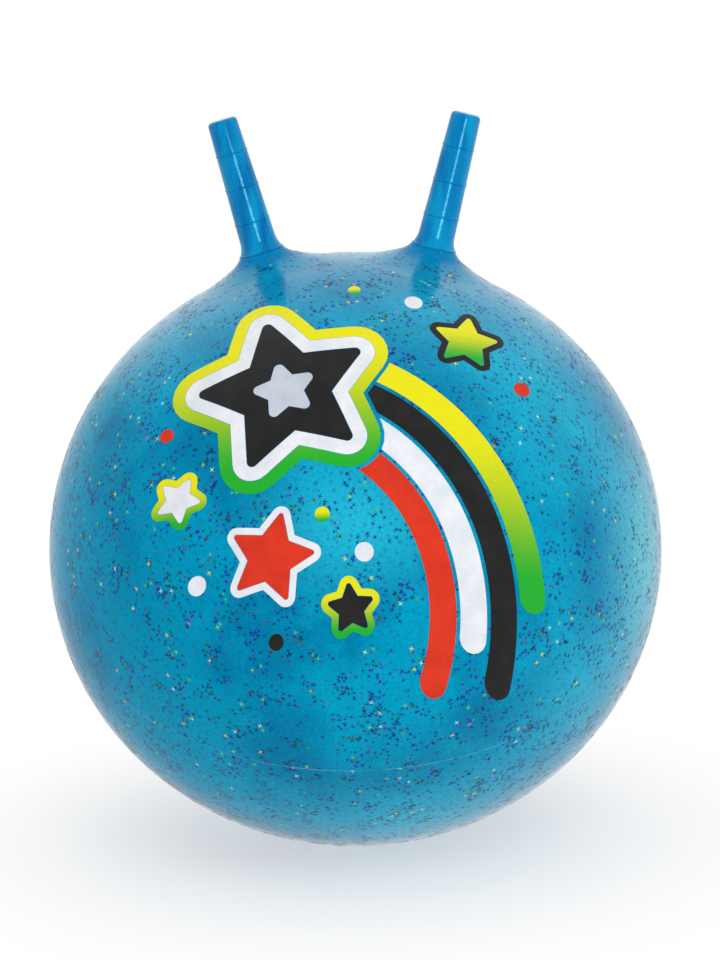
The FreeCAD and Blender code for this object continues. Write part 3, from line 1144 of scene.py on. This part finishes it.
flake_form = bmesh.new()
corners = bmesh.ops.create_circle(flake_form, cap_ends=True, radius=flake_reach,
                                  segments=8)["verts"]
bmesh.ops.scale(flake_form, verts=corners[::2], vec=(flake_waist_share, flake_waist_share, 1))
bmesh.ops.translate(flake_form, verts=corners, vec=(0, 0, flake_root))
thicken(flake_form, flake_top - flake_root)
flake = mesh_from("flake", flake_form)
print("flake faces", len(flake.polygons))

# %% How glitter lies in the vinyl
flake_count = 18000
flake_sizes = (0.88, 1.0)
clump_chance = 0.62
clump_reach = 6 * MM
valve_clear = 15 * MM
floor_clear = 1 * MM
# Drifts of glitter: the noise's coarse and fine scale, the fine one's share, the share of
# flakes that stay where the noise is 0, and how much more or fewer stay elsewhere.
coarse_scale = 5.0
fine_scale = 14.0
fine_share = 0.6
usual_share = 0.56
drift_strength = 1.3
# Where the way from the ball's centre rises by more than this, fewer and fewer flakes stay.
thin_from = 0.55
thinning = 1.2
chance = random.Random(7)


def random_way():
    """A direction, any as likely as another."""
    rise = chance.uniform(-1, 1)
    turn = chance.uniform(0, math.tau)
    run = math.sqrt(1 - rise ** 2)
    return Vector((run * math.cos(turn), run * math.sin(turn), rise))


def thin_spot(way):
    """Whether glitter is left out here: it lies in drifts, and thins out round the crown."""
    drift = noise.noise(way * coarse_scale) + fine_share * noise.noise(way * fine_scale)
    stays = usual_share + drift_strength * drift - thinning * max(0, way.z - thin_from)
    return chance.random() > stays


print("a clump's reach in degrees", round(math.degrees(clump_reach / half_width), 1))

# %% Kinds of flakes
# Each kind of flake: its share of all flakes, the two hues it drifts between, and how
# metallic it is.
flake_kinds = {
    "indigo": (0.32, srgb(32, 14, 146), srgb(16, 34, 168), 0.1),
    "violet": (0.12, srgb(84, 18, 156), srgb(52, 20, 160), 0.1),
    "navy": (0.18, srgb(4, 26, 100), srgb(4, 52, 128), 0.1),
    "forest": (0.21, srgb(6, 54, 40), srgb(8, 88, 62), 0.1),
    "olive": (0.1, srgb(56, 66, 10), srgb(84, 60, 16), 0.1),
    # The lime, gold, pink and silver flakes carry a painted glint in their colour.
    "lime": (0.042, srgb(150, 220, 20), srgb(20, 172, 80), 0.0),
    "gold": (0.016, srgb(240, 240, 10), srgb(255, 196, 0), 0.0),
    "pink": (0.005, srgb(188, 70, 206), srgb(222, 120, 210), 0.0),
    "silver": (0.007, srgb(206, 236, 240), srgb(190, 226, 220), 0.1),
}
kinds = list(flake_kinds)
weights = [flake_kinds[kind][0] for kind in kinds]
print("kinds of flakes", len(kinds), "shares in all", round(sum(weights), 3))

# %% Scatter the glitter
glitter = {kind: bmesh.new() for kind in kinds}
way = random_way()
laid = 0
while laid < flake_count:
    if chance.random() < clump_chance:
        way = (way + random_way() * clump_reach / half_width).normalized()
    else:
        way = random_way()
        if thin_spot(way):
            continue
    point, normal, _, _ = skin_tree.ray_cast(ball_centre, way)
    if point is None or point.z < floor_clear or (point - valve_middle).length < valve_clear:
        way = random_way()
        continue
    laid += 1
    kind = chance.choices(kinds, weights)[0]
    size = chance.uniform(*flake_sizes)
    turn = chance.uniform(0, math.tau)
    if any(tree.ray_cast(ball_centre, way)[0] is not None for tree in ink_trees):
        continue
    place = normal.to_track_quat("Z", "Y").to_matrix().to_4x4()
    place = Matrix.Translation(point) @ place @ Matrix.Rotation(turn, 4, "Z")
    copy = flake.copy()
    copy.transform(place @ Matrix.Diagonal((size, size, 1, 1)))
    glitter[kind].from_mesh(copy)
    bpy.data.meshes.remove(copy)

flake_faces = len(flake.polygons)
bpy.data.meshes.remove(flake)
print("flakes laid", sum(len(bm.faces) for bm in glitter.values()) // flake_faces)

# %% Gather the flakes into pieces
for kind, bm in glitter.items():
    _, first, second, metal = flake_kinds[kind]
    foil = two_tone(
        kind + "_glitter", first, second, cloud=(130.0, 1.0, (0.35, 0.65)),
        gloss=(500.0, 1.0, 0.2, 0.4), grain=(1500.0, 1.0, 0.02 * MM, 0.3),
        Metallic=metal, Specular_IOR_Level=0.4, Specular_Tint=vinyl_tint)
    keep_piece("flakes_" + kind, bm, foil, "ball", "skin_vinyl")

# %% [markdown]
# ## The mould line
# The skin was cast in a mould of two halves, and where they met, a hair-thin ridge runs round
# the ball. It shows as a faint pale line low on the front. Cutting it into the skin's mesh
# would need very fine faces there, so it is a piece of its own. A thin triangle is turned
# round the ball in the mould's plane, and each of its points is then laid at its own height
# on the skin.

# %% Turn and lay the mould line
mould_tilt = math.radians(31)
ridge_half = 0.35 * MM
ridge_top = 0.1 * MM
ridge_root = -0.08 * MM
ridge_steps = 360
ridge_sharp = 80

ridge_vinyl = two_tone(
    "mould_line_vinyl", srgb(30, 142, 184), srgb(112, 184, 208),
    cloud=(30.0, 3.0, (0.4, 0.65)), gloss=(200.0, 2.0, 0.2, 0.35), Specular_IOR_Level=0.3)
ridge_place = Matrix.Translation(ball_centre) @ Matrix.Rotation(mould_tilt, 4, "X")
ridge_outline = [(half_width - ridge_half, -ridge_half), (half_width + ridge_half, 0),
                 (half_width - ridge_half, ridge_half), (half_width - ridge_half, -ridge_half)]
ridge_form = spun(ridge_outline, ridge_steps, ridge_place)
for vert in ridge_form.verts:
    crest = (vert.co - ball_centre).length > half_width
    point = on_skin(vert.co)
    vert.co = point + skin_normal(point) * (ridge_top if crest else ridge_root)
outwards(ridge_form)
keep_piece("mould_line", ridge_form, ridge_vinyl, "ball", "skin_vinyl", sharp=ridge_sharp)

# %% [markdown]
# ## Camera
# The photograph was taken from in front and a little above. The lens is long, so the ball
# shows hardly any perspective. The picture is tipped by a small angle, which the camera
# repeats. Turning the camera to put the ball in its place would tilt the view, so a small
# shift of the lens does that.

# %% Place the camera
photo_width = 720
photo_height = 960
ball_pixel_x = 355.4
ball_pixel_y = 548.7
camera_distance = 2.5
camera_height = math.radians(12)
camera_roll = math.radians(1.5)
# The lens and the film are given in millimetres.
lens_length = 114.2
film_height = 36

camera_data = bpy.data.cameras.new("camera")
camera_data.lens = lens_length
camera_data.sensor_fit = "VERTICAL"
camera_data.sensor_height = film_height
camera_data.shift_x = (photo_width / 2 - ball_pixel_x) / photo_height
camera_data.shift_y = (ball_pixel_y - photo_height / 2) / photo_height
camera = put_in_scene("camera", camera_data)
camera.matrix_world = (
    Matrix.Translation(ball_centre)
    @ Matrix.Rotation(math.pi / 2 - camera_height, 4, "X")
    @ Matrix.Rotation(-camera_roll, 4, "Z")
    @ Matrix.Translation((0, 0, camera_distance))
)
bpy.context.scene.camera = camera
bpy.context.scene.view_settings.view_transform = "Standard"
print("camera at", [round(value, 3) for value in camera.matrix_world.translation])

# %% [markdown]
# ## Floor and light
# The floor is pale and plain. A bright lamp could wash it out to white, but the ball would
# wash out with it, so the floor itself fades to white for the camera some way out, and no
# horizon shows. The world is an even white studio. A wide soft lamp from above the right
# shoulder gives the ball its form, and a strip in front draws the long thin highlight down
# each horn. The strip shines on the horns alone, and only as a highlight.

# %% Build the floor
floor_size = 12.0
floor_white = (0.94, 0.94, 0.94, 1)
floor_fade = (0.12, 0.42)
floor_least_white = 0.55
floor_glow = 0.6


def ray_is(tree, *kinds):
    """1 for light paths of one of these kinds, and otherwise 0."""
    path = tree.nodes.new("ShaderNodeLightPath")
    found = path.outputs["Is " + kinds[0] + " Ray"]
    for kind in kinds[1:]:
        found = maths(tree, "MAXIMUM", found, path.outputs["Is " + kind + " Ray"])
    return found


floor_form = bmesh.new()
bmesh.ops.create_grid(floor_form, x_segments=1, y_segments=1, size=floor_size / 2)
floor = put_in_scene("floor", mesh_from("floor", floor_form))

pale, tree, coords = new_finish("pale_floor", Base_Color=floor_white, Roughness=0.9,
                                Specular_IOR_Level=0.0)
away = vector_maths(tree, "LENGTH", coords)
fade = spread(tree, away, *floor_fade, floor_least_white, 1.0)
fade = maths(tree, "MULTIPLY", fade, ray_is(tree, "Camera", "Glossy", "Transmission"))
fade = maths(tree, "MAXIMUM", fade, ray_is(tree, "Glossy"))
# For bounced light the floor glows as well, and that glow lights the ball's underside.
bounced = maths(tree, "MULTIPLY", ray_is(tree, "Diffuse"), floor_glow)
fade = maths(tree, "MAXIMUM", fade, bounced)
matt = tree.nodes["Principled BSDF"].outputs[0]
mix = add(tree, "MixShader", {0: fade, 1: matt, 2: add(tree, "Emission")})
tree.links.new(mix, tree.nodes["Material Output"].inputs["Surface"])
floor.data.materials.append(pale)
print("floor", floor_size, "m wide")

# %% Light the world
world_light = 0.8
white = (1, 1, 1, 1)
world = bpy.data.worlds.new("studio")
bpy.context.scene.world = world
world.use_nodes = True
tree = world.node_tree
soft = tree.nodes["Background"]
soft.inputs["Color"].default_value = white
soft.inputs["Strength"].default_value = world_light
seen = add(tree, "Background", {"Color": white, "Strength": 1.0})
direct = ray_is(tree, "Camera", "Glossy", "Transmission")
mix = add(tree, "MixShader", {0: direct, 1: soft.outputs[0], 2: seen})
tree.links.new(mix, tree.nodes["World Output"].inputs["Surface"])
print("world light", world_light)


# %% Light the lamps
def soft_lamp(name, place, aim, size, watts):
    """A rectangular lamp that faces a point."""
    data = bpy.data.lights.new(name, "AREA")
    data.shape = "RECTANGLE"
    data.size, data.size_y = size
    data.energy = watts
    lamp = put_in_scene(name, data)
    lamp.location = place
    lamp.rotation_euler = (Vector(aim) - Vector(place)).to_track_quat("-Z", "Y").to_euler()
    print("lamp", name, watts, "W")
    return lamp


key = soft_lamp("key", place=(0.7, -1.9, 1.7), aim=ball_centre, size=(1.4, 1.4), watts=14)
key.visible_glossy = False

strip_reach = 1.3
strip_azimuth = math.radians(10)
strip_place = (strip_reach * math.sin(strip_azimuth), -strip_reach * math.cos(strip_azimuth), 0.48)
strip = soft_lamp("strip", place=strip_place, aim=(0, 0, 0.54), size=(0.27, 0.42), watts=18)
strip.data.color = (1.0, 0.8, 0.62)
strip.visible_diffuse = False
strip.visible_camera = False
on_horns = bpy.data.collections.new("strip_shines_on")
for horn in horns:
    on_horns.objects.link(horn)
strip.light_linking.receiver_collection = on_horns

# Seen from behind, a horn's far edge mirrors the strip far brighter than white. A limit on
# the brightest samples keeps that edge smooth.
brightest_sample = 2
bpy.context.scene.cycles.sample_clamp_direct = brightest_sample
